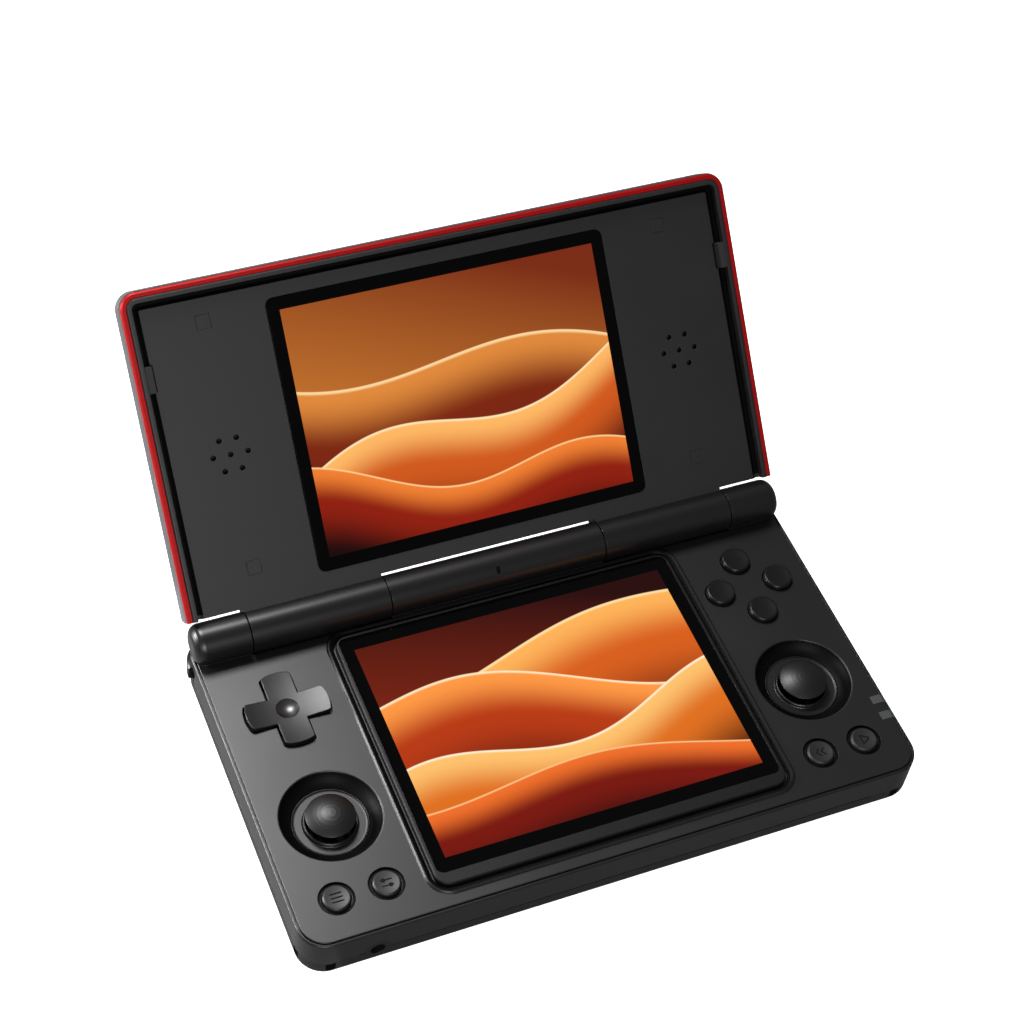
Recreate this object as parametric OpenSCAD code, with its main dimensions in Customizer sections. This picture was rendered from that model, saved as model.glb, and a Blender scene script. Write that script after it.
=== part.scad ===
// Clamshell handheld game console.
// A base carries one screen, the cross pad, four action buttons, two low sticks, four small
// buttons, shoulder buttons and the sockets. A lid with a second screen turns on two steel
// pins through five hinge knuckles. The origin is the middle of the base's flat underside,
// just above the rubber feet; +X is right, +Y is towards the hinge and +Z is up.

/* [Base] */
// Width of the base, left to right
base_width = 156.8; // [154:0.2:164]
// Depth of the base, front to back
base_depth = 90.4; // [89:0.2:96]
// Height of the control plate above the underside
plate_height = 13; // [12.8:0.1:15]
// Height of the rubber feet below the base
foot_height = 0.6; // [0.4:0.1:1.2]
// Height of the seam between the two base shells
seam_height = 5.3; // [5:0.1:5.6]
// Plan radius of the base corners
base_corner = 6.8; // [6.6:0.1:9]
// How far the side walls curve in at the bottom
side_curve = 2.5; // [1.5:0.1:3.5]
// Height of that curve at the bottom of the side walls
curve_height = 2.5; // [1.5:0.1:4]
// Thickness of the base side walls
base_wall = 2; // [1.6:0.1:2.6]
// Thickness of the base floor
floor_thickness = 1.6; // [1.2:0.1:2]
// Thickness of the control plate
plate_thickness = 1.8; // [1.6:0.1:2]
// Width of the rim round the control plate, with the fine groove inside it
ledge_width = 0.9; // [0.8:0.05:1.6]
// How far that rim lies below the control plate
ledge_drop = 0.2; // [0:0.05:0.6]
// Rounding of the rim's outer edge
rim_round = 0.45; // [0.2:0.05:0.5]
// Width of the fine groove between the rim and the control plate
plate_gap = 0.3; // [0.2:0.05:0.35]
// Depth of that groove below the rim
plate_gap_depth = 0.4; // [0.2:0.1:0.8]
// Rounding of the control plate's edge
plate_edge = 0.2; // [0.1:0.05:0.4]

/* [Hinge] */
// Height of the hinge axis above the control plate
axis_rise = 3; // [2.8:0.1:3.4]
// Distance from the hinge axis to the back of the base
axis_back = 5.5; // [5.4:0.1:7]
// Outer radius of the hinge knuckles
knuckle_radius = 5.2; // [4.6:0.1:5.4]
// Length of each end knuckle on the base
end_knuckle = 13.9; // [10:0.1:18]
// Length of the middle knuckle on the base
middle_knuckle = 57; // [40:1:70]
// Side gap between neighbouring knuckles
knuckle_gap = 0.3; // [0.2:0.05:0.6]
// Rounding of the outer ends of the end knuckles
knuckle_end_round = 2.6; // [1:0.1:4]
// Radius of the hinge pins
pin_radius = 1.9; // [1.4:0.1:2.4]
// Running clearance round the hinge pins
pin_clearance = 0.05; // [0.02:0.01:0.1]
// How far each hinge pin reaches into the middle knuckle
pin_reach = 7; // [4:0.5:14]
// Angle between lid and base in the resting pose
lid_open = 133; // [100:1:160]

/* [Lid] */
// How far the lid's free edge reaches past the front of the base
lid_overhang = 0.5; // [0:0.1:1.5]
// Distance from the hinge axis to the lid's lower edge
lid_start = 6; // [5.8:0.1:7]
// Height of the lid's rim above the hinge axis plane
lid_face = 2.75; // [2.4:0.05:2.9]
// Depth of the lid's back face behind the hinge axis plane
lid_back = 4.9; // [4.6:0.1:5.4]
// Plan radius of the lid's free corners
lid_corner = 4.4; // [4:0.1:7]
// How far the back cover curves in at its edge
lid_curve = 1.8; // [1:0.1:2.4]
// Wall thickness of the back cover
lid_wall = 1.6; // [1.2:0.1:2]
// Width of the coloured trim band
trim_width = 1.3; // [0.8:0.1:2]
// Height of the coloured trim band
trim_height = 1.3; // [0.8:0.1:1.6]
// Width of the rim inside the trim band
rim_width = 1.3; // [1:0.1:2.4]
// Width of the groove inside the rim, slope included
groove_width = 1.8; // [1.2:0.1:2.4]
// Width of the groove's flat bottom
groove_flat = 1; // [0.5:0.1:1.1]
// Depth of the inner panel below the rim
panel_drop = 1.9; // [1.3:0.05:2]
// Thickness of the inner panel
panel_thickness = 1.4; // [1.2:0.1:1.6]

/* [Screens] */
// Width of the lit picture on both screens
picture_width = 81.3; // [78:0.1:84]
// Distance from the front of the base to the lower picture
picture_front = 12.8; // [12.4:0.1:15]
// Distance from the hinge axis to the lower picture
picture_back = 11.1; // [11:0.1:13]
// Black margin of both glasses beside the picture, and of the upper one all round
glass_margin = 3.1; // [2:0.1:3.6]
// Black margin of the lower glass in front of the picture and behind it
glass_ends = 3.7; // [2:0.1:3.8]
// Thickness of the screen glass
glass_thickness = 1; // [0.7:0.1:1.2]
// Corner radius of the screen glass
glass_corner = 2; // [1:0.5:3]
// Thickness of the display modules
display_thickness = 2.3; // [1.6:0.1:2.5]
// Distance from the hinge axis to the upper picture
upper_picture_start = 13.1; // [12:0.1:15]
// Width of the raised frame beside and behind the lower glass
frame_side = 1; // [0.8:0.1:1.6]
// Width of the raised frame in front of the lower glass
frame_front = 3.3; // [2:0.1:3.4]
// Height of the raised frame above the control plate
frame_rise = 0.7; // [0.3:0.1:1]
// Width of the shadow groove round the raised frame
frame_groove = 0.6; // [0.3:0.1:0.8]
// Width of the rounded bead that runs round that groove
bead_width = 1.7; // [1.4:0.1:1.8]
// Height of the bead above the control plate
bead_rise = 0.6; // [0.2:0.1:0.8]

/* [Controls] */
// Place of the controls across the strip beside the screen, from its inner edge
cluster_share = 0.575; // [0.55:0.005:0.6]
// Width of the strip beside the screen that the control sizes below are drawn for
drawn_strip = 24.95; // [24.5:0.05:25.5]
// Distance between the cross pad's and the small buttons' rows that they are drawn for
drawn_rows = 51; // [50:0.1:52]
// Distance from the hinge axis to the cross pad and action buttons
cluster_front = 22.9; // [22:0.1:25]
// Place of the sticks between the cross pad's row and the small buttons' row
stick_share = 0.592; // [0.58:0.002:0.6]
// Tip to tip span of the cross pad
pad_span = 20.4; // [18:0.2:21]
// Width of the cross pad's arms
pad_arm = 7.2; // [6:0.1:8]
// Height of the cross pad above the control plate
pad_rise = 1.4; // [1:0.1:1.5]
// Tilt of the cross pad to each side, in degrees
pad_tilt = 3; // [2:0.5:3]
// Radius of the action buttons
action_radius = 3.7; // [3:0.1:4]
// Distance of the action buttons from the middle of their cluster
action_pitch = 8.1; // [7.6:0.1:8.4]
// Height of the action buttons above the control plate
action_rise = 1.4; // [1:0.1:1.6]
// Travel of the action buttons
action_travel = 0.9; // [0.4:0.1:1]
// Radius of the small buttons
menu_radius = 3.3; // [2.6:0.1:3.5]
// Distance between the two small buttons of a pair
menu_pitch = 11.9; // [11:0.1:13]
// Distance from the front of the base to the small buttons
menu_inset = 11; // [10:0.1:12]
// Height of the small buttons above the control plate
menu_rise = 0.6; // [0.2:0.1:1]
// Travel of the small buttons
menu_travel = 0.5; // [0.3:0.1:0.6]
// Gap round the buttons
button_gap = 0.2; // [0.12:0.02:0.3]

/* [Sticks] */
// Radius of the bowl round each stick at the control plate
bowl_radius = 12.2; // [11.6:0.1:12.4]
// Depth of the bowl round each stick
bowl_depth = 2.9; // [2.6:0.1:3]
// Radius of the stick caps
cap_radius = 5.9; // [5.4:0.1:6.8]
// Height of the domed top of the stick caps
cap_dome = 1.6; // [1:0.1:2]
// Tilt of the sticks to each side, in degrees
stick_tilt = 10; // [5:1:11]

/* [Shoulders] */
// Length of each shoulder button, from the side of the base
shoulder_length = 21.7; // [20:0.1:24]
// Length of each trigger beside it
trigger_length = 18; // [14:0.1:20]

/* [Sockets] */
// Radius of the headphone socket's hole
jack_radius = 1.8; // [1.76:0.01:1.85]
// Distance of the headphone socket from the side of the base
jack_inset = 17.3; // [16:0.1:22]
// Width of the charging socket's opening
usb_width = 9; // [8.6:0.1:9.4]
// Height of the charging socket's opening
usb_height = 3.2; // [3:0.1:3.4]
// Width of the memory card slot
card_width = 11.4; // [11.2:0.1:11.8]
// Height of the memory card slot
card_height = 1.6; // [1:0.1:2]

/* [Hidden] */

// Smoothness of round things
$fn = 64;
// Cutting tools reach this far past the faces they cut
past = 0.5;
// Number of facets along each curved wall section
curve_steps = 9;

// ---- Places that follow from the sizes ----
base_half = base_width / 2;
depth_half = base_depth / 2;
axis_y = depth_half - axis_back;
axis_z = plate_height + axis_rise;
rim_top = plate_height - ledge_drop;
wall_top = rim_top - rim_round;
plate_under = plate_height - plate_thickness;
floor_top = floor_thickness;

// Outer wall, upright above the curve: at the angle given, how far in and how high it is
function wall_point(angle) = [
  side_curve * (1 - cos(angle)),
  curve_height - curve_height * sin(angle)
];
function wall_angle(height) = asin(max(0, curve_height - height) / curve_height);
function wall_inset(height) = wall_point(wall_angle(height))[0];
function wall_curve(low, high, extra = 0) = concat(
  low < curve_height ? [
    for (step = [0:curve_steps - 1])
      wall_point(wall_angle(low) * (1 - step / curve_steps)) + [extra, 0]
  ] : [[extra, low]],
  low < curve_height ? [[extra, curve_height]] : [],
  [[extra, high]]
);
// Quarter round at the top edge of a slab whose edge stands in by the inset given
function top_round(inset, height, radius, steps = 4) = [
  for (step = [0:steps])
    let (angle = 90 * step / steps)
      [inset + radius * (1 - cos(angle)), height - radius * (1 - sin(angle))]
];

// A slab with rounded plan corners whose edge follows the profile of [inset, height] points
module contour_slab(half_x, half_y, corner, profile) {
  last = len(profile) - 1;
  points = concat(
    [[0, profile[0][1]]],
    [for (p = profile) [corner - p[0], p[1]]],
    [[0, profile[last][1]]]
  );
  for (side_x = [0, 1], side_y = [0, 1])
    mirror([side_x, 0, 0]) mirror([0, side_y, 0])
      translate([half_x - corner, half_y - corner, 0])
        rotate_extrude(angle = 90) polygon(points);
  for (side = [0, 1]) {
    mirror([side, 0, 0]) translate([half_x - corner, 0, 0]) rotate([90, 0, 0])
      linear_extrude(height = 2 * (half_y - corner), center = true) polygon(points);
    mirror([0, side, 0]) translate([0, half_y - corner, 0]) rotate([90, 0, 90])
      linear_extrude(height = 2 * (half_x - corner), center = true) polygon(points);
  }
  translate([corner - half_x, corner - half_y, profile[0][1]])
    cube([2 * (half_x - corner), 2 * (half_y - corner), profile[last][1] - profile[0][1]]);
}

// A plain slab with rounded corners, standing on the height given
module round_slab(width, depth, low, high, corner) {
  contour_slab(width / 2, depth / 2, corner, [[0, low], [0, high]]);
}

module rod_x(radius, from_x, to_x) {
  translate([from_x, 0, 0]) rotate([0, 90, 0]) cylinder(r = radius, h = to_x - from_x);
}

module block(from, to) {
  translate(from) cube(to - from);
}

// ---- Outer forms of the base ----
plate_profile = concat(
  top_round(0, rim_top, rim_round),
  [[ledge_width - plate_gap, rim_top], [ledge_width - plate_gap, rim_top - plate_gap_depth],
   [ledge_width, rim_top - plate_gap_depth]],
  top_round(ledge_width, plate_height, plate_edge)
);
module top_form() {
  contour_slab(base_half, depth_half, base_corner,
    concat(wall_curve(seam_height, wall_top - 0.1), plate_profile));
}
module bottom_form() {
  contour_slab(base_half, depth_half, base_corner, wall_curve(0, seam_height));
}

// ---- Lower screen ----
picture_height = base_depth - axis_back - picture_front - picture_back;
glass_width = picture_width + 2 * glass_margin;
glass_height = picture_height + 2 * glass_margin;
lower_glass_height = picture_height + 2 * glass_ends;
lower_y = axis_y - picture_back - picture_height / 2;
upper_picture = upper_picture_start + picture_height / 2;
frame_width = glass_width + 2 * frame_side;
frame_low = lower_y - lower_glass_height / 2 - frame_front;
frame_high = lower_y + lower_glass_height / 2 + frame_side;
frame_depth = frame_high - frame_low;
frame_y = (frame_high + frame_low) / 2;
frame_seat = plate_height - 1;
frame_corner = 3.6;
frame_fit = 0.1;
groove_half = frame_width / 2 + frame_groove;
groove_corner = frame_corner + frame_groove;
bead_half = groove_half + bead_width;
bead_corner = groove_corner + bead_width;
lower_glass_top = plate_height + 0.35;
lower_glass_seat = lower_glass_top - glass_thickness;
display_side = 1.4;
display_width = picture_width + 2 * display_side;
display_depth = picture_height + 2 * display_side;
display_gap = 0.3;

module lower_screen_frame() {
  color("dimgray") difference() {
    translate([0, frame_y, 0])
      contour_slab(frame_width / 2, frame_depth / 2, frame_corner,
        concat([[0, frame_seat]], top_round(0, plate_height + frame_rise, 0.4)));
    translate([0, lower_y, 0]) {
      round_slab(glass_width + 2 * frame_fit, lower_glass_height + 2 * frame_fit,
        lower_glass_seat, plate_height + frame_rise + past, glass_corner);
      round_slab(display_width + 2 * display_gap, display_depth + 2 * display_gap,
        frame_seat - past, lower_glass_seat + past, 1);
    }
  }
}

module lower_glass() {
  color("black") translate([0, lower_y, 0])
    round_slab(glass_width, lower_glass_height, lower_glass_seat, lower_glass_top, glass_corner);
}

module lower_display() {
  color("orangered") translate([0, lower_y, 0])
    round_slab(display_width, display_depth,
      lower_glass_seat - display_thickness, lower_glass_seat, 0.8);
}

// ---- Places and sizes of the controls, which shrink with a smaller strip ----
switch_zone = 4.4;
control_strip = base_half - base_wall - switch_zone - bead_half;
cluster_side = bead_half + cluster_share * control_strip;
cluster_y = axis_y - cluster_front;
menu_y = menu_inset - depth_half;
stick_y = cluster_y - stick_share * (cluster_y - menu_y);
control_fit = min(1, control_strip / drawn_strip, (cluster_y - menu_y) / drawn_rows);
cross_span = pad_span * control_fit;
pad_y = cluster_y + 0.5 * control_fit;
action_side = cluster_side - 0.35 * control_fit;
cross_arm = pad_arm * control_fit;
action_size = action_radius * control_fit;
action_reach = action_pitch * control_fit;
menu_size = menu_radius * control_fit;
bowl_size = bowl_radius * control_fit;
cap_size = cap_radius * control_fit;
menu_inner = cluster_side - menu_pitch * control_fit / 2;
menu_outer = cluster_side + menu_pitch * control_fit / 2;
action_places = [[0, 1], [1, 0], [0, -1], [-1, 0]];
button_flange = 0.8;
flange_height = 0.7;
flange_top = plate_under - 0.1;

module at_action(index) {
  translate([action_side + action_reach * action_places[index][0],
             cluster_y + action_reach * action_places[index][1], 0]) children();
}

// Flat outline of the cross pad, with gently rounded arm ends and corners
module cross_outline(span, arm) {
  corner = 0.9 * control_fit;
  side = arm / 2 - corner;
  along = sqrt(pow(span / 2 - corner, 2) - side * side);
  for (turn = [0:90:270]) rotate([0, 0, turn]) {
    translate([0, -arm / 2]) square([along, arm]);
    for (end = [-1, 1]) translate([along, end * side]) circle(r = corner);
    intersection() {
      circle(r = span / 2);
      polygon([[0, 0], [span, -span * side / along], [span, span * side / along]]);
    }
  }
}

// ---- Hinge of the base ----
knuckle_half = base_half - 0.3;
end_start = knuckle_half - end_knuckle;
middle_half = middle_knuckle / 2;
back_top = axis_z - knuckle_radius - 0.3;
bore_radius = pin_radius + pin_clearance;
pin_start = knuckle_half - 1.6;
pin_end = middle_half - pin_reach;

module at_axis() {
  translate([0, axis_y, axis_z]) children();
}
// An end knuckle with its rounded outer end
module end_barrel() {
  translate([end_start, 0, 0]) rotate([0, 90, 0]) rotate_extrude()
    polygon(concat(
      [[0, 0], [knuckle_radius, 0]],
      [for (angle = [0:15:90])
        [knuckle_radius - knuckle_end_round * (1 - cos(angle)),
         end_knuckle - knuckle_end_round * (1 - sin(angle))]],
      [[0, end_knuckle]]
    ));
}
// Web that carries a fixed knuckle on the shell
module barrel_web(from_x, to_x) {
  block([from_x, axis_y - knuckle_radius + 0.9, plate_under],
        [to_x, axis_y, axis_z - 1]);
  block([from_x, axis_y - 0.5, back_top - 1.2], [to_x, axis_y + knuckle_radius, axis_z]);
}

// ---- Board and inner posts ----
board_low = 6.4;
board_thickness = 1.2;
board_top = board_low + board_thickness;
post_radius = 2.6;
screw_x = bead_half - bead_width / 3;
screw_rows = [frame_low + frame_side, lower_y + post_radius + 1.6, axis_y - picture_back + 2.1];
screw_radius = 1;
screw_head = 2.1;
screw_head_height = 1.1;
module at_screws() {
  for (side = [-1, 1], row = screw_rows) translate([side * screw_x, row, 0]) children();
}

// ---- Sticks ----
bowl_floor = plate_height - bowl_depth;
bowl_floor_radius = bowl_size - 3.1 * control_fit;
bowl_lip = 0.35;
bowl_slope_low = 23;
bowl_slope_high = 63;
cup_wall = 1.2;
cup_bottom = bowl_floor - 1.4;
ring_radius = bowl_floor_radius - 0.15;
ring_top = bowl_floor - 0.3;
ring_thickness = 0.5;
ring_edge = 0.75;
ring_edge_turn = 55;
ring_lip = 0.95;
ring_lip_wall = 0.5;
pivot_z = 4.2;
cap_low = plate_height - 0.6;
cap_side = 0.5;
collar_radius = 3.4 * control_fit;
collar_height = 2.8;
neck_radius = 2;
ring_clearance = 3 * control_fit;
ring_hole = neck_radius + (ring_top - pivot_z) * tan(stick_tilt) + ring_clearance;
ball_radius = 1.8;
housing_outer = 15.6 * control_fit;
housing_wall = 1.1;
housing_top = board_top + 0.6;
gimbal_outer = 5 * control_fit;
gimbal_inner = 3.9 * control_fit;
gimbal_height = 2;
trunnion_radius = 0.8;
cross_pin_radius = 0.7;
running = 0.05;

module stick_bowl_cut() {
  rotate_extrude() polygon(concat(
    [[0, cup_bottom - past], [ring_radius - 0.6, cup_bottom - past],
     [ring_radius - 0.6, bowl_floor - 0.9], [ring_radius + 0.15, bowl_floor - 0.9],
     [ring_radius + 0.15, bowl_floor]],
    // Wall that steepens towards the top
    [for (step = [0:6])
      let (slope = bowl_slope_low + (bowl_slope_high - bowl_slope_low) * step / 6)
        [bowl_floor_radius + (bowl_size - bowl_lip - bowl_floor_radius)
           * (sin(slope) - sin(bowl_slope_low)) / (sin(bowl_slope_high) - sin(bowl_slope_low)),
         bowl_floor + (bowl_depth - bowl_lip)
           * (cos(bowl_slope_low) - cos(slope)) / (cos(bowl_slope_low) - cos(bowl_slope_high))]],
    // Rounded lip
    [for (step = [1:3])
      let (turn = 90 * step / 3)
        [bowl_size - bowl_lip * cos(turn), plate_height - bowl_lip + bowl_lip * sin(turn)]],
    [[bowl_size, plate_height + past], [0, plate_height + past]]
  ));
}

// ---- Strap loops in the front corners ----
loop_ring = 5;
loop_size = 2.3;
loop_height = 2.9;
loop_z = seam_height - 0.4 - loop_height / 2;
loop_inset = 1.4;
loop_block = loop_inset + loop_ring + loop_size / 2 + 0.5;
module strap_channels() {
  for (side = [-1, 1])
    translate([side * (base_half - loop_inset), loop_inset - depth_half, loop_z])
      rotate_extrude() translate([loop_ring - loop_size / 2, -loop_height / 2])
        square([loop_size, loop_height]);
}

// ---- Sockets and side controls ----
jack_side = base_half - jack_inset;
jack_z = seam_height;
jack_collar = 2.9;
jack_face = wall_inset(jack_z) - depth_half;
jack_length = 13.5;
usb_wall = 0.5;
usb_z = seam_height + usb_height / 2 + usb_wall + 0.1;
usb_length = 8;
card_z = 3.5;
card_depth = 14;
card_skin = 0.7;
card_y = stick_y - housing_outer / 2 - 0.7 - card_width / 2 - card_skin;
side_z = 8.3;
side_button_height = 2.6;
power_inset = 22.7;
power_y = depth_half - power_inset;
power_length = 9;
volume_length = 17;
volume_y = power_y - volume_length;
side_proud = 0.5;
light_pitch = 4.8;
light_ahead = 9.7;
light_rows = [menu_y + light_ahead, menu_y + light_ahead - light_pitch];
light_width = 2.2;
light_length = 3.8;
light_from = base_half - light_length;
light_low = plate_height - 2.6;

// Stadium prism lying along Y, from one x to another
module stadium_x(length, height, from_x, to_x) {
  translate([from_x, 0, 0]) rotate([90, 0, 90]) linear_extrude(height = to_x - from_x) union() {
    square([length - height, height], center = true);
    for (end = [-1, 1]) translate([end * (length - height) / 2, 0]) circle(d = height);
  }
}
// Stadium prism lying along X, from one y to another
module stadium_y(length, height, from_y, to_y) {
  translate([0, to_y, 0]) rotate([90, 0, 0]) linear_extrude(height = to_y - from_y) union() {
    square([length - height, height], center = true);
    for (end = [-1, 1]) translate([end * (length - height) / 2, 0]) circle(d = height);
  }
}

// ---- Shoulder buttons ----
shoulder_gap = 0.25;
shoulder_low = seam_height + shoulder_gap;
shoulder_high = back_top - 0.5;
shoulder_in = base_half - shoulder_length;
trigger_in = shoulder_in - trigger_length;
shoulder_front = axis_y - 1.6;
shoulder_proud = 0.9;
shoulder_pin = 1;
shoulder_pin_x = shoulder_in + 3;
shoulder_pin_y = depth_half - 3;
notch_front = shoulder_front - 2.2;
notch_wall = 1.2;

// Notch in the back corner of the shells for the two buttons of a side
module shoulder_notches() {
  for (side = [0, 1]) mirror([side, 0, 0])
    block([trigger_in, notch_front, seam_height - past],
          [base_half + past, depth_half + past, shoulder_high + shoulder_gap]);
}
// Inner walls that close the notch off, with the pin of the shoulder button
module notch_walls() {
  for (side = [0, 1]) mirror([side, 0, 0]) intersection() {
    block([trigger_in - notch_wall, notch_front - notch_wall, seam_height],
          [base_half, depth_half, plate_under + 0.1]);
    contour_slab(base_half, depth_half, base_corner,
      wall_curve(seam_height, wall_top, base_wall - 0.1));
  }
}
module shoulder_pins() {
  for (side = [0, 1]) mirror([side, 0, 0])
    translate([shoulder_pin_x, shoulder_pin_y, seam_height + 0.1])
      cylinder(r = shoulder_pin, h = shoulder_high + shoulder_gap - seam_height);
}

// ---- Shells of the base ----
module base_top_shell() {
  color("slategray") union() {
    shoulder_pins();
    top_shell_body();
  }
}
module top_shell_body() {
  difference() {
    union() {
      difference() {
        top_form();
        // Inner space under the plate
        contour_slab(base_half, depth_half, base_corner,
          wall_curve(seam_height - past, plate_under, base_wall));
      }
      notch_walls();
      bead();
      // Cups below the stick bowls
      for (side = [-1, 1]) translate([side * cluster_side, stick_y, cup_bottom])
        cylinder(r = bowl_size + cup_wall, h = plate_under - cup_bottom + 0.1);
      // Screw bosses
      at_screws() translate([0, 0, board_top])
        cylinder(r = post_radius - 0.2, h = plate_under - board_top + 0.1);
      // Back wall pieces and knuckles
      for (side = [0, 1]) mirror([side, 0, 0]) {
        at_axis() end_barrel();
        barrel_web(end_start, knuckle_half - knuckle_end_round);
      }
      at_axis() rod_x(knuckle_radius, -middle_half, middle_half);
      barrel_web(-middle_half, middle_half);
    }
    // Room for the lid's knuckles and for the lid's lower edge
    for (side = [0, 1]) mirror([side, 0, 0]) {
      at_axis() rod_x(knuckle_radius + 0.4, middle_half, end_start);
      block([middle_half, axis_y, axis_z - lid_back - 0.3],
            [end_start, depth_half + past, plate_height + past]);
    }
    // Bores for the hinge pins
    for (side = [0, 1]) mirror([side, 0, 0])
      at_axis() rod_x(bore_radius, pin_end - 0.3, pin_start + 0.3);
    // Seat and window of the lower screen
    translate([0, frame_y, 0])
      round_slab(2 * groove_half, frame_depth + 2 * frame_groove,
        frame_seat, plate_height + bead_rise + past, groove_corner);
    translate([0, lower_y, 0])
      round_slab(display_width + 2 * display_gap, display_depth + 2 * display_gap,
        plate_under - past, frame_seat + past, 1);
    // Stick bowls
    for (side = [-1, 1]) translate([side * cluster_side, stick_y, 0]) stick_bowl_cut();
    // Cross pad hole
    translate([-cluster_side, pad_y, plate_under - past])
      linear_extrude(height = plate_thickness + 2 * past)
        cross_outline(cross_span + 4 * button_gap, cross_arm + 4 * button_gap);
    // Action button holes
    for (index = [0:3]) at_action(index) translate([0, 0, plate_under - past])
      cylinder(r = action_size + button_gap, h = plate_thickness + 2 * past);
    // Small button holes with their recessed rings
    for (place = [-menu_outer, -menu_inner, menu_inner, menu_outer])
      translate([place, menu_y, 0]) {
        translate([0, 0, plate_under - past])
          cylinder(r = menu_size + button_gap, h = plate_thickness + 2 * past);
        translate([0, 0, plate_height - 0.5]) cylinder(r = menu_size + 0.9, h = 0.5 + past);
      }
    // Screw pilot holes
    at_screws() translate([0, 0, board_top - past])
      cylinder(r = screw_radius + 0.02, h = 3 + past);
    shoulder_notches();
    // Sockets and side controls
    translate([-jack_side, 0, jack_z]) rotate([90, 0, 0])
      cylinder(r = jack_collar + 0.05, h = 3 * depth_half, center = false);
    translate([0, 0, usb_z])
      stadium_y(usb_width + 2 * usb_wall + 0.2, usb_height + 2 * usb_wall + 0.2,
        depth_half - usb_length - 0.6, depth_half + past);
    translate([0, power_y, side_z])
      stadium_x(power_length + 2 * button_gap, side_button_height + 2 * button_gap,
        base_half - base_wall - 2, base_half + past);
    translate([0, volume_y, side_z])
      stadium_x(volume_length + 2 * button_gap, side_button_height + 2 * button_gap,
        base_half - base_wall - 2, base_half + past);
    indicator_form();
    // Microphone hole in the middle knuckle
    at_axis() rotate([-50, 0, 0]) translate([0, 0, 2.6])
      cylinder(r = 0.5, h = knuckle_radius, $fn = 24);
  }
}

// Rounded bead on the plate round the screen frame, highest near its outer edge
module bead() {
  top = plate_height + bead_rise;
  translate([0, frame_y, 0])
    contour_slab(bead_half, frame_depth / 2 + frame_groove + bead_width, bead_corner, [
      [0, plate_height - 0.2], [0, plate_height], [0.15, top - 0.35], [0.35, top - 0.1],
      [0.6, top], [0.9, top - 0.08], [bead_width - 0.4, top - 0.3], [bead_width, top - 0.7],
      [bead_width + 0.2, top - 0.7]
    ]);
}

module indicator_form() {
  for (row = light_rows)
    block([light_from, row - light_width / 2, light_low],
          [base_half + past, row + light_width / 2, plate_height + past]);
}

module indicator_lights() {
  color("whitesmoke") intersection() {
    top_form();
    indicator_form();
  }
}

module base_bottom_shell() {
  step = 0.35;
  color("darkslategray") difference() {
    union() {
      difference() {
        contour_slab(base_half, depth_half, base_corner, concat(
          wall_curve(0, seam_height - step),
          [[wall_inset(seam_height) + step, seam_height - step],
           [wall_inset(seam_height) + step, seam_height]]));
        contour_slab(base_half, depth_half, base_corner, concat(
          wall_curve(floor_top, seam_height, base_wall),
          [[wall_inset(seam_height) + base_wall, seam_height + past]]));
      }
      // Solid corners that carry the strap loops
      for (side = [-1, 1]) intersection() {
        bottom_form();
        block([side * (base_half - 6.4) - 6.4, -depth_half, 0],
              [side * (base_half - 6.4) + 6.4, loop_block - depth_half, seam_height]);
      }
      at_screws() translate([0, 0, floor_top - 0.1])
        cylinder(r = post_radius, h = board_low - floor_top + 0.1);
    }
    strap_channels();
    at_screws() {
      translate([0, 0, -past]) cylinder(r = screw_head + 0.2, h = screw_head_height + 0.1 + past);
      translate([0, 0, 0]) cylinder(r = screw_radius + 0.2, h = board_low + past);
    }
    for (place = foot_places) translate([place[0], place[1], -past])
      cylinder(r = foot_radius + 0.05, h = foot_recess + past);
    translate([-jack_side, 0, jack_z]) rotate([90, 0, 0])
      cylinder(r = jack_collar + 0.05, h = 3 * depth_half);
    translate([0, card_y, card_z])
      block([base_half - 12, -card_width / 2 - 0.2, -card_height / 2 - 0.2],
            [base_half + past, card_width / 2 + 0.2, card_height / 2 + 0.2]);
    // Sound and air slots in the floor
    for (slot = [-3:3]) translate([slot * slot_pitch, depth_half - slot_inset, 0])
      block([-1, -slot_length / 2, -past], [1, slot_length / 2, floor_top + past]);
  }
}

slot_pitch = 6;
slot_length = 10;
slot_inset = 19.2;
foot_radius = 4;
foot_recess = 0.3;
foot_inset = 16.7;
foot_front = 14.2;
foot_back = 17.2;
foot_rows = [foot_front - depth_half, depth_half - foot_back];
foot_places = [for (side = [-1, 1], row = foot_rows) [side * (base_half - foot_inset), row]];
module rubber_feet() {
  color("black") for (place = foot_places) translate([place[0], place[1], -foot_height])
    cylinder(r = foot_radius, h = foot_height + foot_recess);
}

module base_screws() {
  color("silver") at_screws() difference() {
    union() {
      translate([0, 0, 0.1]) cylinder(r = screw_head, h = screw_head_height);
      translate([0, 0, 0.1]) cylinder(r = screw_radius, h = board_top + 2.4);
    }
    for (turn = [0, 90]) rotate([0, 0, turn])
      block([-1.3, -0.25, -past], [1.3, 0.25, 0.6]);
  }
}

// ---- Inside the base ----
board_inset = 6.3;
board_front = board_inset + 0.9 - depth_half;
battery_inset = 22;
module main_board() {
  color("green") difference() {
    block([board_inset - base_half, board_front, board_low],
          [base_half - board_inset, axis_y - knuckle_radius - 3.2, board_top]);
    for (side = [-1, 1]) translate([side * cluster_side, stick_y, 0])
      block([-1, -1, 0] * (housing_outer / 2 + 0.3) + [0, 0, board_low - past],
            [1, 1, 0] * (housing_outer / 2 + 0.3) + [0, 0, board_top + past]);
    translate([-jack_side, jack_face, 0])
      block([-3.5, 0, board_low - past], [3.5, jack_length + 0.3, board_top + past]);
    at_screws() translate([0, 0, board_low - past])
      cylinder(r = screw_radius + 0.2, h = board_thickness + 2 * past);
  }
}

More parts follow.
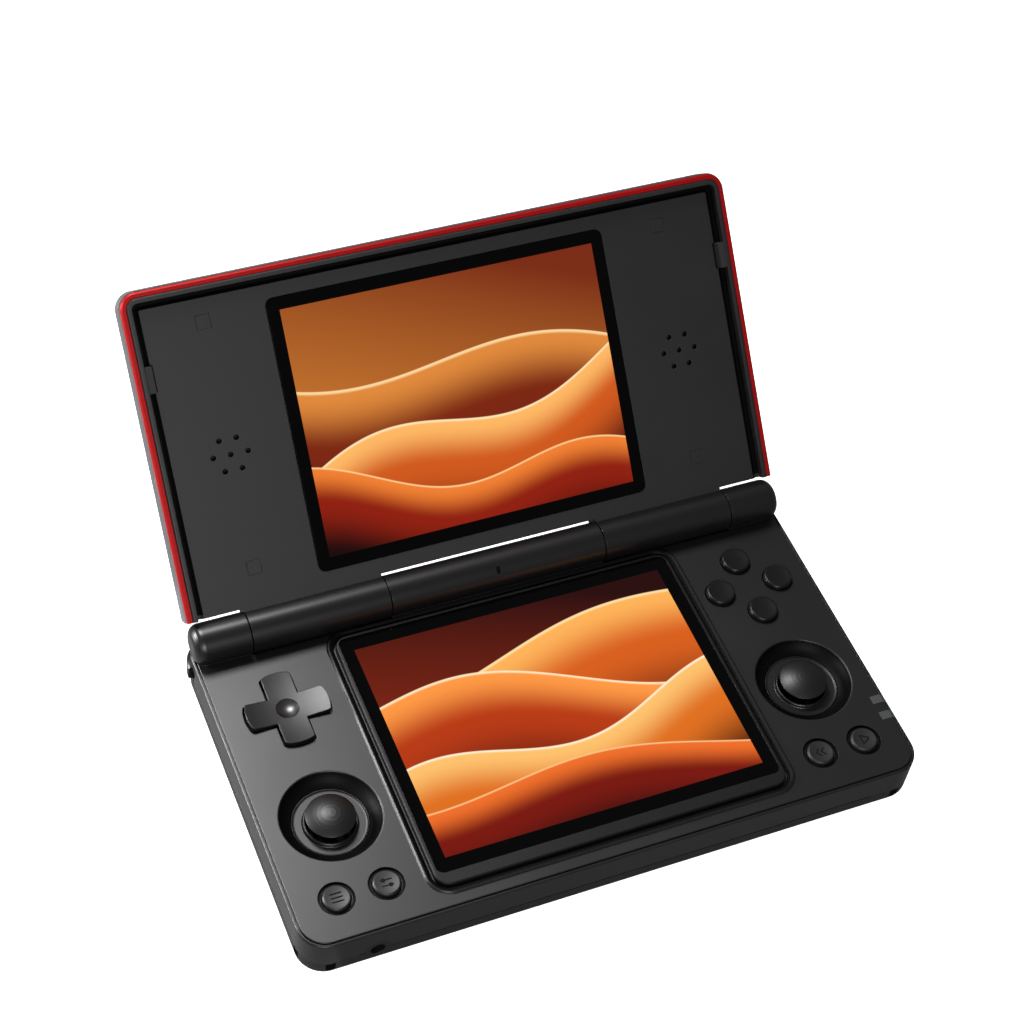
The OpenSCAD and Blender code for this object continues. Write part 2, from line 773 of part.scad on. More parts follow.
module battery() {
  color("gold") translate([0, -board_inset, 0])
    round_slab(2 * (screw_x - 3 * post_radius), base_depth - 2 * battery_inset,
      floor_top, board_low - 0.6, 2);
}

module stick_housings() {
  color("gray") for (side = [-1, 1]) translate([side * cluster_side, stick_y, 0])
    difference() {
      block([-housing_outer / 2, -housing_outer / 2, floor_top],
            [housing_outer / 2, housing_outer / 2, housing_top]);
      block([housing_wall - housing_outer / 2, housing_wall - housing_outer / 2, floor_top + 0.6],
            [housing_outer / 2 - housing_wall, housing_outer / 2 - housing_wall,
             housing_top + past]);
      translate([0, 0, pivot_z])
        rod_x(trunnion_radius + running, -housing_outer, housing_outer);
    }
}

module stick_dust_rings() {
  color("dimgray") for (side = [-1, 1]) translate([side * cluster_side, stick_y, 0])
    rotate_extrude() polygon(concat(
      [[ring_hole, ring_top - ring_thickness], [ring_radius, ring_top - ring_thickness]],
      // Upturned outer edge
      [for (step = [3:-1:0])
        let (turn = ring_edge_turn * step / 3)
          [ring_radius + ring_edge * (sin(turn) - sin(ring_edge_turn)),
           ring_top + ring_edge * (1 - cos(turn))]],
      // Low collar round the hole
      [[ring_hole + ring_lip_wall + 0.2, ring_top], [ring_hole + ring_lip_wall, ring_top + 0.2],
       [ring_hole + ring_lip_wall, ring_top + ring_lip - 0.2],
       [ring_hole + ring_lip_wall - 0.2, ring_top + ring_lip],
       [ring_hole, ring_top + ring_lip]]
    ));
}

// Ring that tilts about X in the housing and carries the stick's cross pin
module gimbal() {
  color("white") translate([0, 0, pivot_z]) difference() {
    union() {
      cylinder(r = gimbal_outer, h = gimbal_height, center = true);
      rod_x(trunnion_radius, 0.3 - housing_outer / 2, housing_outer / 2 - 0.3);
    }
    cylinder(r = gimbal_inner, h = gimbal_height + 2, center = true);
    rotate([0, 0, 90]) rod_x(cross_pin_radius + running, -gimbal_outer - 1, gimbal_outer + 1);
  }
}
module left_gimbal() {
  translate([-cluster_side, stick_y, 0]) gimbal();
}
module right_gimbal() {
  translate([cluster_side, stick_y, 0]) gimbal();
}

// Low domed cap on its stem, with the ball and cross pin that sit in the gimbal
module stick() {
  dome_sphere = (cap_size * cap_size + cap_dome * cap_dome) / (2 * cap_dome);
  dome_base = cap_low + cap_side;
  color("black") {
    rotate_extrude() polygon(concat(
      [[0, pivot_z], [neck_radius, pivot_z], [neck_radius, cap_low - collar_height],
       [collar_radius, cap_low - collar_height], [collar_radius, cap_low],
       [cap_size - 0.5, cap_low], [cap_size, dome_base]],
      [for (step = [1:8])
        let (reach = cap_size * cos(90 * step / 8))
          [reach, dome_base + sqrt(dome_sphere * dome_sphere - reach * reach)
                    - dome_sphere + cap_dome]]
    ));
    translate([0, 0, pivot_z]) sphere(r = ball_radius);
    translate([0, 0, pivot_z]) rotate([0, 0, 90])
      rod_x(cross_pin_radius, 0.2 - gimbal_outer, gimbal_outer - 0.2);
  }
}
module left_stick() {
  translate([-cluster_side, stick_y, 0]) stick();
}
module right_stick() {
  translate([cluster_side, stick_y, 0]) stick();
}

// ---- Cross pad and buttons ----
pad_pivot_z = plate_under - 0.8;
pad_flange = cross_span / 2 + 1.2;
pad_flange_top = plate_under - 0.4 - pad_flange * sin(pad_tilt);
pad_flange_low = pad_flange_top - 0.7;
pivot_ball = 1.3;
sheet_height = 0.5;
pad_sheet = 2 * (pad_flange + 0.6);
action_sheet = 2 * (action_reach + 2.2 * control_fit);
post_top = pad_pivot_z - 0.35;

module pad_pivot() {
  color("silver") translate([-cluster_side, pad_y, pad_pivot_z]) sphere(r = pivot_ball);
}

module cross_pad() {
  dish_radius = 76;
  dimple_radius = 5.2;
  top = plate_height + pad_rise;
  color("black") translate([-cluster_side, pad_y, 0]) difference() {
    union() {
      translate([0, 0, pad_flange_low]) linear_extrude(height = top - pad_flange_low)
        cross_outline(cross_span, cross_arm);
      translate([0, 0, pad_flange_low])
        cylinder(r = pad_flange, h = pad_flange_top - pad_flange_low);
    }
    // The arms rise gently towards their tips
    translate([0, 0, top + dish_radius - 0.75]) sphere(r = dish_radius, $fn = 144);
    // Thumb dimple in the middle
    translate([0, 0, top - 0.75 + dimple_radius - 0.75]) sphere(r = dimple_radius);
    // Room for the pivot post, and the socket of the pivot ball
    translate([0, 0, pad_flange_low - past])
      cylinder(r = 3.2, h = pad_pivot_z - 0.05 - pad_flange_low + past);
    translate([0, 0, pad_pivot_z]) sphere(r = pivot_ball + running);
  }
}

// Rubber sheets on the board, with a dome below each button and a post for the pad
module control_membranes() {
  dome = 2 * control_fit;
  color("gray") {
    difference() {
      translate([-cluster_side, pad_y, 0]) union() {
        round_slab(pad_sheet, pad_sheet, board_top, board_top + sheet_height, 3);
        cylinder(r = 1.8, h = post_top);
        for (turn = [0:90:270]) rotate([0, 0, turn])
          translate([cross_span / 2 - 2.4, 0, board_top])
            cylinder(r = dome, h = pad_flange_low - 0.9 - board_top);
      }
      translate([-cluster_side, pad_y, -1]) cylinder(r = 1.9, h = board_top + 1);
      translate([-cluster_side, pad_y, pad_pivot_z]) sphere(r = pivot_ball + running);
    }
    translate([action_side, cluster_y, 0])
      round_slab(action_sheet, action_sheet, board_top, board_top + sheet_height, 3);
    for (index = [0:3]) at_action(index) translate([0, 0, board_top])
      cylinder(r = dome, h = flange_top - flange_height - action_travel - 0.15 - board_top);
    for (place = [-menu_outer, -menu_inner, menu_inner, menu_outer])
      translate([place, menu_y, board_top])
        cylinder(r = dome, h = flange_top - flange_height - menu_travel - 0.15 - board_top);
  }
}

// A round button with its hidden flange and a slightly dished top with an eased edge
module round_button(radius, rise) {
  top = plate_height + rise;
  dish_radius = radius * 7;
  dish_depth = 0.18;
  color("black") difference() {
    union() {
      translate([0, 0, flange_top - flange_height])
        cylinder(r = radius + button_flange, h = flange_height);
      rotate_extrude() polygon([
        [0, flange_top - flange_height], [radius, flange_top - flange_height],
        [radius, top - 0.5], [radius - 0.13, top - 0.2], [radius - 0.4, top], [0, top]
      ]);
    }
    translate([0, 0, top + dish_radius - dish_depth]) sphere(r = dish_radius, $fn = 96);
  }
}
module action_button_back() {
  at_action(0) round_button(action_size, action_rise);
}
module action_button_right() {
  at_action(1) round_button(action_size, action_rise);
}
module action_button_front() {
  at_action(2) round_button(action_size, action_rise);
}
module action_button_left() {
  at_action(3) round_button(action_size, action_rise);
}
module menu_button(place) {
  translate([place, menu_y, 0]) round_button(menu_size, menu_rise);
}
module menu_button_left_outer() {
  menu_button(-menu_outer);
}
module menu_button_left_inner() {
  menu_button(-menu_inner);
}
module menu_button_right_inner() {
  menu_button(menu_inner);
}
module menu_button_right_outer() {
  menu_button(menu_outer);
}

// Shoulder button that wraps round the back corner and turns about an upright pin inside
module shoulder_button() {
  low = shoulder_low;
  high = shoulder_high;
  color("black") difference() {
    intersection() {
      contour_slab(base_half + shoulder_proud, depth_half + shoulder_proud,
        base_corner + shoulder_proud,
        [[0.5, low], [0, low + 0.5], [0, high - 0.5], [0.5, high]]);
      block([shoulder_in + shoulder_gap, shoulder_front, low],
            [base_half + 2, depth_half + 2, high]);
    }
    translate([shoulder_pin_x, shoulder_pin_y, low - past])
      cylinder(r = shoulder_pin + running, h = high - low + 2 * past);
  }
}
module left_shoulder() {
  mirror([1, 0, 0]) shoulder_button();
}
module right_shoulder() {
  shoulder_button();
}

// Inner trigger that slides straight in
module trigger_button() {
  low = shoulder_low;
  high = shoulder_high;
  color("dimgray") intersection() {
    contour_slab(base_half + shoulder_proud, depth_half + shoulder_proud,
      base_corner + shoulder_proud,
      [[0.5, low], [0, low + 0.5], [0, high - 0.5], [0.5, high]]);
    block([trigger_in + shoulder_gap, shoulder_front + 0.6, low],
          [shoulder_in - shoulder_gap, depth_half + 2, high]);
  }
}
module left_trigger() {
  mirror([1, 0, 0]) trigger_button();
}
module right_trigger() {
  trigger_button();
}

// Side button with a flange behind the wall
module side_button(length) {
  inner = base_half - base_wall - 1.8;
  color("dimgray") translate([0, 0, side_z]) {
    stadium_x(length, side_button_height, inner, base_half + side_proud - wall_inset(side_z));
    stadium_x(length + 1, side_button_height + 1, inner,
      base_half - base_wall - wall_inset(side_z) - 1);
  }
}
module power_button() {
  translate([0, power_y, 0]) side_button(power_length);
}
module volume_rocker() {
  translate([0, volume_y, 0]) side_button(volume_length);
}
// Switch blocks on the board behind the side buttons
switch_size = 1.8;
switch_height = 1.7;
module side_switches() {
  outer = base_half - base_wall - 2.6;
  color("silver") for (place = [power_y, volume_y - 5, volume_y + 5])
    translate([0, place, 0])
      block([outer - switch_size, -2.2, board_top], [outer, 2.2, board_top + switch_height]);
}

// ---- Sockets ----
module headphone_socket() {
  color("silver") difference() {
    union() {
      // Collar cut flush with the curved wall
      intersection() {
        translate([-jack_side, jack_face + 4.4, jack_z]) rotate([90, 0, 0])
          cylinder(r = jack_collar, h = 6);
        union() {
          top_form();
          bottom_form();
        }
      }
      translate([-jack_side, jack_face, 0])
        block([-3.2, 4.2, floor_top], [3.2, jack_length, jack_z + 3]);
    }
    translate([-jack_side, jack_face + jack_length - 1, jack_z]) rotate([90, 0, 0])
      cylinder(r = jack_radius, h = jack_length + 2);
  }
}

module charging_socket() {
  front = depth_half - 0.3 - usb_length;
  color("silver") translate([0, 0, usb_z]) {
    difference() {
      stadium_y(usb_width + 2 * usb_wall, usb_height + 2 * usb_wall, front, depth_half - 0.3);
      stadium_y(usb_width, usb_height, front + 1, depth_half + past);
    }
    block([-3.35, front + 0.5, -0.35], [3.35, depth_half - 1.3, 0.35]);
  }
}

module card_reader() {
  outer = base_half - wall_inset(card_z) - 0.6;
  color("silver") translate([0, card_y, card_z]) difference() {
    block([outer - card_depth, -card_width / 2 - card_skin, floor_top - card_z],
          [outer - base_wall - 1, card_width / 2 + card_skin, card_height / 2 + card_skin]);
    block([outer - card_depth + 1, -card_width / 2, -card_height / 2],
          [outer + past, card_width / 2, card_height / 2]);
  }
}

// ---- Hinge pins ----
module hinge_pin_left() {
  color("silver") at_axis() rod_x(pin_radius, -pin_start, -pin_end);
}
module hinge_pin_right() {
  color("silver") at_axis() rod_x(pin_radius, pin_end, pin_start);
}

// ---- Lid, drawn with +Y from the hinge to its free edge and +Z towards the player ----
module lid_place() {
  at_axis() rotate([180 - lid_open, 0, 0]) children();
}
lid_half = base_half;
lid_reach = base_depth - axis_back + lid_overhang;
lid_floor = -lid_back + lid_wall;
trim_inset = 0.3;
trim_low = lid_face - trim_height - 0.25;
panel_half = lid_half - trim_inset - trim_width;
panel_reach = lid_reach - trim_inset - trim_width;
panel_top = lid_face - panel_drop;
panel_under = panel_top - panel_thickness;
panel_gap = 0.1;
shelf_width = 1.7;
// The lid's plan reaches below the axis before it is cut off at its lower edge
lid_tail = 12;
lid_mid = (lid_reach - lid_tail) / 2;
lid_length = (lid_reach + lid_tail) / 2;

// Outline slab of the lid, standing in by the amount given
module lid_slab(inset, profile) {
  deepest = max([for (p = profile) p[0]]);
  translate([0, lid_mid, 0])
    contour_slab(lid_half - inset, lid_length - inset,
      max(lid_corner - inset, deepest + 0.3), profile);
}
module below_edge(height_low, height_high) {
  block([-lid_half - 1, -lid_tail - 1, height_low], [lid_half + 1, lid_start, height_high]);
}

lid_strip_middle = (glass_width / 2 + lid_half) / 2 - 1.8;
lid_screw_rows = [lid_start + 9.2, lid_reach - 10.4];
lid_screw_places = [for (side = [-1, 1], row = lid_screw_rows) [side * lid_strip_middle, row]];
module at_lid_screws() {
  for (place = lid_screw_places) translate([place[0], place[1], 0]) children();
}
lid_screw_radius = 0.9;
lid_screw_head = 1.6;
pad_size = 3.4;
pad_depth = 0.5;

module lid_back_cover() {
  steps = 6;
  outer = concat(
    [for (step = [0:steps])
      let (angle = 90 * (1 - step / steps))
        [lid_curve * (1 - cos(angle)), lid_curve - lid_back - lid_curve * sin(angle)]],
    [[0, trim_low]]
  );
  color("silver") difference() {
    union() {
      difference() {
        lid_slab(0, outer);
        // Hollow, deeper inside than under the panel's rim
        difference() {
          lid_slab(lid_wall + shelf_width, [
            [1, lid_floor], [0, lid_floor + 1], [0, trim_low + past]
          ]);
          below_edge(-lid_back - 1, panel_under);
          block([-lid_half, lid_start, -lid_back - 1], [lid_half, lid_start + lid_wall, panel_under]);
        }
        lid_slab(trim_inset + trim_width, [[0, panel_under], [0, trim_low + past]]);
      }
      at_lid_screws() translate([0, 0, lid_floor - 0.1])
        cylinder(r = 2.4, h = panel_under - lid_floor + 0.1);
    }
    below_edge(-lid_back - 1, lid_face + 1);
    at_lid_screws() translate([0, 0, lid_floor + 0.4])
      cylinder(r = lid_screw_radius + 0.02, h = lid_back);
  }
}

module lid_trim() {
  color("red") difference() {
    lid_slab(trim_inset, [
      [0, trim_low], [0, trim_low + trim_height - 0.4], [0.4, trim_low + trim_height]
    ]);
    lid_slab(trim_inset + trim_width, [[0, trim_low - past], [0, lid_face + 1]]);
    below_edge(trim_low - 1, lid_face + 1);
  }
}

// Lid knuckle with the neck that joins it to the inner panel
module lid_knuckle() {
  from_x = middle_half + knuckle_gap;
  to_x = end_start - knuckle_gap;
  difference() {
    union() {
      rod_x(knuckle_radius, from_x, to_x);
      block([from_x, 0, 0.3 - lid_back], [to_x, lid_start, panel_top]);
      block([from_x, lid_start - 0.1, panel_under], [to_x, lid_start + 2, panel_top]);
    }
    rod_x(bore_radius, from_x - 1, to_x + 1);
  }
}

speaker_x = lid_strip_middle;
speaker_y = upper_picture - 0.6;
speaker_ring = 4.3;
speaker_hole = 0.65;
module speaker_holes() {
  for (side = [-1, 1]) translate([side * speaker_x, speaker_y, panel_under - past]) {
    cylinder(r = speaker_hole, h = panel_thickness + 2 * past, $fn = 24);
    for (turn = [0:60:300]) rotate([0, 0, turn]) translate([speaker_ring, 0, 0])
      cylinder(r = speaker_hole, h = panel_thickness + 2 * past, $fn = 24);
  }
}

upper_glass_top = panel_top + 0.15;
upper_glass_seat = upper_glass_top - glass_thickness;
bumper_inset = 21;
bumper_y = lid_reach - bumper_inset;
bumper_length = 6.4;
bumper_width = 1.7;
bumper_notch = 0.6;
bumper_top = axis_rise - 0.05;

bumper_outer = panel_half - rim_width;

module lid_inner_panel() {
  color("darkgray") difference() {
    union() {
      difference() {
        lid_slab(trim_inset + trim_width + panel_gap, concat(
          [[0, panel_under]], top_round(0, lid_face, 0.4)));
        lid_slab(trim_inset + trim_width + rim_width, [[0, panel_top], [0, lid_face + past]]);
        difference() {
          lid_slab(trim_inset + trim_width + rim_width,
            [[0, panel_top - 0.7], [0, panel_top + past]]);
          lid_slab(trim_inset + trim_width + rim_width, [
            [groove_flat, panel_top - 1], [groove_flat, panel_top - 0.7],
            [groove_width, panel_top - 0.02], [groove_width, panel_top + 1]
          ]);
        }
        below_edge(-lid_back - 1, lid_face + 1);
      }
      for (side = [0, 1]) mirror([side, 0, 0]) lid_knuckle();
    }
    translate([0, upper_picture, 0]) {
      round_slab(glass_width + 2 * frame_fit, glass_height + 2 * frame_fit,
        upper_glass_seat, panel_top + past, glass_corner);
      round_slab(display_width + 2 * display_gap, display_depth + 2 * display_gap,
        panel_under - past, upper_glass_seat + past, 1);
    }
    // Pockets of the bumpers
    for (side = [0, 1]) mirror([side, 0, 0])
      block([bumper_outer - bumper_width - bumper_notch, bumper_y - bumper_length / 2, panel_top - 0.7],
            [bumper_outer, bumper_y + bumper_length / 2, panel_top + past]);
    speaker_holes();
    at_lid_screws() {
      block([-pad_size / 2 - 0.05, -pad_size / 2 - 0.05, panel_top - pad_depth],
            [pad_size / 2 + 0.05, pad_size / 2 + 0.05, panel_top + past]);
      translate([0, 0, panel_under + 0.4])
        cylinder(r = lid_screw_head + 0.1, h = panel_thickness);
      translate([0, 0, panel_under - past])
        cylinder(r = lid_screw_radius + 0.15, h = panel_thickness);
    }
  }
}

module upper_glass() {
  color("black") translate([0, upper_picture, 0])
    round_slab(glass_width, glass_height, upper_glass_seat, upper_glass_top, glass_corner);
}
module upper_display() {
  color("orangered") translate([0, upper_picture, 0])
    round_slab(display_width, display_depth,
      upper_glass_seat - display_thickness, upper_glass_seat, 0.8);
}

speaker_width = 12;
speaker_length = 17;
module speakers() {
  color("dimgray") for (side = [-1, 1]) translate([side * speaker_x, speaker_y, 0])
    round_slab(speaker_width, speaker_length, lid_floor, panel_under - 0.2, 3);
}

module lid_bumpers() {
  color("black") for (side = [0, 1]) mirror([side, 0, 0])
    block([bumper_outer - bumper_width, bumper_y - bumper_length / 2 + 0.05, panel_top - 0.7],
          [bumper_outer - 0.05, bumper_y + bumper_length / 2 - 0.05, bumper_top]);
}

module lid_pads() {
  color("black") at_lid_screws()
    block([-pad_size / 2, -pad_size / 2, panel_top - pad_depth],
          [pad_size / 2, pad_size / 2, panel_top]);
}

module lid_screws() {
  color("silver") at_lid_screws() {
    translate([0, 0, panel_under + 0.4])
      cylinder(r = lid_screw_head, h = panel_thickness - pad_depth - 0.4 - 0.1);
    translate([0, 0, lid_floor + 0.7])
      cylinder(r = lid_screw_radius, h = panel_under + 0.5 - lid_floor - 0.7);
  }
}

base_bottom_shell();
base_top_shell();
lower_screen_frame();
lower_glass();
lower_display();
main_board();
battery();
stick_housings();
stick_dust_rings();
left_gimbal();
left_stick();
right_gimbal();
right_stick();
control_membranes();
pad_pivot();
cross_pad();
action_button_back();
action_button_right();
action_button_front();
action_button_left();
menu_button_left_outer();
menu_button_left_inner();
menu_button_right_inner();
menu_button_right_outer();
left_shoulder();
left_trigger();
right_shoulder();
right_trigger();
power_button();
volume_rocker();
side_switches();
headphone_socket();
charging_socket();
card_reader();
indicator_lights();
rubber_feet();
base_screws();
hinge_pin_left();
hinge_pin_right();
lid_place() lid_back_cover();
lid_place() lid_trim();
lid_place() lid_inner_panel();
lid_place() upper_glass();
lid_place() upper_display();
lid_place() speakers();
lid_place() lid_bumpers();
lid_place() lid_pads();
lid_place() lid_screws();
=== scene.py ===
"""Clamshell handheld game console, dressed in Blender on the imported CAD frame, in metres."""
import math
import bpy
from mathutils import Matrix, Vector


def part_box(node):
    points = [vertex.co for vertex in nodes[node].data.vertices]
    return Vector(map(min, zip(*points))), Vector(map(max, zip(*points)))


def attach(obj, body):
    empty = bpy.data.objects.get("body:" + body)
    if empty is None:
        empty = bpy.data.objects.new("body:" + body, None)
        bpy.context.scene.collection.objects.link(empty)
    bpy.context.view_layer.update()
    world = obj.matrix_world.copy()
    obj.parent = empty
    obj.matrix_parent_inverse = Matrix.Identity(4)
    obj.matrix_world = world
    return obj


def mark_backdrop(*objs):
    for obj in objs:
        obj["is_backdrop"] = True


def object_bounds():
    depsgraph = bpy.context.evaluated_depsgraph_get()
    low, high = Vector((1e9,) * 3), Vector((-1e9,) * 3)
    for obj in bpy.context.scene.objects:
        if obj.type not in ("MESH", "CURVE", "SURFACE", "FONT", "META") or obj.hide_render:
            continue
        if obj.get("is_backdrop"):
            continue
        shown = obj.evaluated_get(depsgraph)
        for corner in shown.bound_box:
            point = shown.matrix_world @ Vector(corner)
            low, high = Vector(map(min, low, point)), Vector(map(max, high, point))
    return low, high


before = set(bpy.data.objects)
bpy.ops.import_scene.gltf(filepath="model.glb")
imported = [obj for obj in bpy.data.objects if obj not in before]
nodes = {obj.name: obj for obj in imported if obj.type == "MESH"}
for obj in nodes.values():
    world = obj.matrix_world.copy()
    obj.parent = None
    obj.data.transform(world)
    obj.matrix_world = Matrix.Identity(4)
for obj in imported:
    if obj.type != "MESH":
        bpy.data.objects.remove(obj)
cad_low, cad_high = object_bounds()

MM = 0.001

# ---------------------------------------------------------------------------------------------
# Base shells. Two halves injection moulded in black ABS in a spark-eroded tool, held together
# by six screws from below. The lower half is a little plainer and duller than the top.


def linear(code):
    """An sRGB hex colour as the linear values that a shader takes."""
    values = [int(code[i:i + 2], 16) / 255 for i in (1, 3, 5)]
    return [v / 12.92 if v <= 0.04045 else ((v + 0.055) / 1.055) ** 2.4 for v in values] + [1.0]


def new_finish(name):
    """An empty material with its Principled shader."""
    made = bpy.data.materials.new(name)
    made.use_nodes = True
    return made, made.node_tree.nodes["Principled BSDF"]


def plug(finish, target, inputs):
    """Links or sets the inputs of a node, each with another node's output or with a value."""
    for socket, value in inputs.items():
        if isinstance(value, bpy.types.NodeSocket):
            finish.node_tree.links.new(value, target.inputs[socket])
        else:
            target.inputs[socket].default_value = value


def node(finish, kind, inputs=None, **settings):
    """Adds one shader node; inputs go into its sockets, settings are its properties."""
    new = finish.node_tree.nodes.new("ShaderNode" + kind)
    for name, value in settings.items():
        setattr(new, name, value)
    plug(finish, new, inputs or {})
    return new


def spot(finish):
    """The point being shaded, in the object's own coordinates."""
    return node(finish, "TexCoord").outputs["Object"]


def two_tone(finish, share, first, second):
    """Runs from the first colour to the second as the share goes from 0 to 1."""
    ends = [linear(end) if isinstance(end, str) else end for end in (first, second)]
    return node(finish, "Mix", {"Factor": share, 6: ends[0], 7: ends[1]},
                data_type="RGBA").outputs[2]


def wear(piece, finish):
    """Gives a piece its finish in place of what it came with."""
    piece.data.materials.clear()
    piece.data.materials.append(finish)


def moulded_plastic(name, colour, lighter, roughness, specular, grain_mm, depth_mm, edge_mm):
    """Injection-moulded plastic: eroded grain, slow changes of gloss and tone, eased edges."""
    drift_mm, gloss_swing = 25, 0.02
    finish, shader = new_finish(name)
    place = spot(finish)
    grain = node(finish, "TexNoise", {"Vector": place, "Scale": 1 / (grain_mm * MM),
                                      "Detail": 2.0})
    drift = node(finish, "TexNoise", {"Vector": place, "Scale": 1 / (drift_mm * MM),
                                      "Detail": 3.0})
    gloss = node(finish, "MapRange", {"Value": drift.outputs["Fac"], "From Min": 0.3,
                                      "From Max": 0.7, "To Min": roughness - gloss_swing,
                                      "To Max": roughness + gloss_swing})
    eased = node(finish, "Bevel", {"Radius": edge_mm * MM}, samples=4)
    bump = node(finish, "Bump", {"Height": grain.outputs["Fac"], "Strength": 0.35,
                                 "Distance": depth_mm * MM, "Normal": eased.outputs["Normal"]})
    plug(finish, shader, {"Base Color": two_tone(finish, drift.outputs["Fac"], colour, lighter),
                          "Roughness": gloss.outputs["Result"],
                          "Normal": bump.outputs["Normal"],
                          "IOR": 1.53, "Specular IOR Level": specular})
    return finish


def calc(finish, operation, *values):
    """One step of arithmetic on numbers."""
    return node(finish, "Math", dict(enumerate(values)), operation=operation).outputs[0]


def vector_calc(finish, operation, *values):
    """One step of arithmetic on vectors, whose result is a number for a length or a product."""
    step = node(finish, "VectorMath", dict(enumerate(values)), operation=operation)
    gives_number = operation in ("DISTANCE", "LENGTH", "DOT_PRODUCT")
    return step.outputs["Value" if gives_number else "Vector"]


def within(finish, value, low_mm, high_mm):
    """1 where a value lies between the two bounds, and 0 elsewhere."""
    return calc(finish, "COMPARE", value, (low_mm + high_mm) / 2 * MM,
                (high_mm - low_mm) / 2 * MM)


def change(finish, where, colour, roughness, specular):
    """Gives the part of a moulding where the mask is 1 another colour and gloss."""
    shader = finish.node_tree.nodes["Principled BSDF"]
    for name, new in (("Roughness", roughness), ("Specular IOR Level", specular)):
        socket = shader.inputs[name]
        before = socket.links[0].from_socket if socket.is_linked else socket.default_value
        mixed = node(finish, "Mix", {"Factor": where, 2: before, 3: new})
        plug(finish, shader, {name: mixed.outputs[0]})
    tone = shader.inputs["Base Color"].links[0].from_socket
    plug(finish, shader, {"Base Color": two_tone(finish, where, tone, colour)})


def plan_middle(name):
    """The middle of a CAD node's box as seen from above."""
    low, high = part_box(name)
    return ((low.x + high.x) / 2, (low.y + high.y) / 2, 0)


# ABS with an eroded texture: deep black with a broad soft sheen and no sharp reflection. The
# real grain is about 0.15 mm and is drawn at 0.3 mm so that it shows
top_abs = moulded_plastic("black_abs_eroded", "#0e0e0f", "#131314", roughness=0.36,
                          specular=0.38, grain_mm=0.3, depth_mm=0.012, edge_mm=0.25)
# Both sides of the plate are alike, so distances are measured from |x|
axes = node(top_abs, "SeparateXYZ", {0: spot(top_abs)})
side = calc(top_abs, "ABSOLUTE", axes.outputs[0])
flat = node(top_abs, "CombineXYZ", {0: side, 1: axes.outputs[1]}).outputs[0]
# Painted shade in the hollows: the walls of the stick bowls and the moats round the small
# buttons are made near black and dull.
# Each band has its inner and outer radius in mm
bowl_wall, button_moat = (9.05, 11.9), (3.62, 4.25)
for name, band in (("right_stick", bowl_wall), ("menu_button_right_inner", button_moat),
                   ("menu_button_right_outer", button_moat)):
    away = vector_calc(top_abs, "DISTANCE", flat, plan_middle(name))
    change(top_abs, within(top_abs, away, *band), "#040404", roughness=0.5, specular=0.07)
# The inner slope of the bead, which runs round the screen's frame outside a groove, gets the
# same painted shade
groove_mm, corner_mm, slope_mm = 0.6, 4.2, 1.15
low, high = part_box("lower_screen_frame")
straight = [length / 2 + (groove_mm - corner_mm) * MM for length in (high - low)[:2]] + [0]
across = vector_calc(top_abs, "SUBTRACT", flat, (0, (low.y + high.y) / 2, 0))
across = vector_calc(top_abs, "ABSOLUTE", across)
past = vector_calc(top_abs, "SUBTRACT", across, straight)
past = vector_calc(top_abs, "MAXIMUM", past, (0, 0, 0))
away = vector_calc(top_abs, "LENGTH", past)
slope = within(top_abs, away, corner_mm - 0.05, corner_mm + slope_mm)
change(top_abs, slope, "#050505", roughness=0.5, specular=0.08)

# The hinge's axis runs from side to side at this place
hinge_y, hinge_z, knuckle_mm = 39.7 * MM, 16 * MM, 5.2


def from_hinge(finish):
    """The distance from the hinge's axis."""
    axes = node(finish, "SeparateXYZ", {0: spot(finish)})
    turned = node(finish, "CombineXYZ", {1: axes.outputs[1], 2: axes.outputs[2]}).outputs[0]
    return vector_calc(finish, "DISTANCE", turned, (0, hinge_y, hinge_z))


def polish_knuckles(finish):
    """Makes the hinge knuckles glossier than the rest, as they are polished in the tool."""
    knuckle = within(finish, from_hinge(finish), 0, knuckle_mm + 0.15)
    change(finish, knuckle, "#0d0d0e", roughness=0.33, specular=0.4)


polish_knuckles(top_abs)
under_abs = moulded_plastic("black_abs_underside", "#0c0c0d", "#101011", roughness=0.46,
                            specular=0.34, grain_mm=0.35, depth_mm=0.02, edge_mm=0.25)
wear(nodes["base_top_shell"], top_abs)
wear(nodes["base_bottom_shell"], under_abs)

# ---------------------------------------------------------------------------------------------
# Microphone port. A slot in the front of the middle knuckle, filled all but flush by a
# near-black insert, which is painted shade standing in for the dark inside of the microphone
# hole.

slot_width, slot_length, slot_depth = 1.0 * MM, 1.9 * MM, 0.8 * MM
slot_x, slot_proud = -0.42 * MM, 0.06 * MM
bpy.ops.object.select_all(action="DESELECT")
bpy.ops.mesh.primitive_cylinder_add(vertices=24, radius=slot_width / 2, depth=slot_depth)
mic_port = bpy.context.active_object
mic_port.name = "microphone_port"
# Draw the disc out along the knuckle's girth into a slot
for corner in mic_port.data.vertices:
    corner.co.y += math.copysign((slot_length - slot_width) / 2, corner.co.y)
bpy.ops.object.mode_set(mode="EDIT")
bpy.ops.mesh.select_all(action="DESELECT")
bpy.ops.object.mode_set(mode="OBJECT")
for face in mic_port.data.polygons:
    face.select = face.normal.z > 0.9
bpy.ops.object.mode_set(mode="EDIT")
# The insert's face lies a little below its rim
bpy.ops.mesh.inset(thickness=0.12 * MM, depth=-0.05 * MM)
bpy.ops.object.mode_set(mode="OBJECT")
# Lean it to the knuckle's surface, forward of upright
lean = math.radians(42)
reach = knuckle_mm * MM + slot_proud - slot_depth / 2
mic_port.rotation_euler.x = lean
mic_port.location = (slot_x, hinge_y - reach * math.sin(lean), hinge_z + reach * math.cos(lean))
bpy.ops.object.transform_apply(location=True, rotation=True, scale=True)

port_shade_finish, shader = new_finish("painted_port_shade")
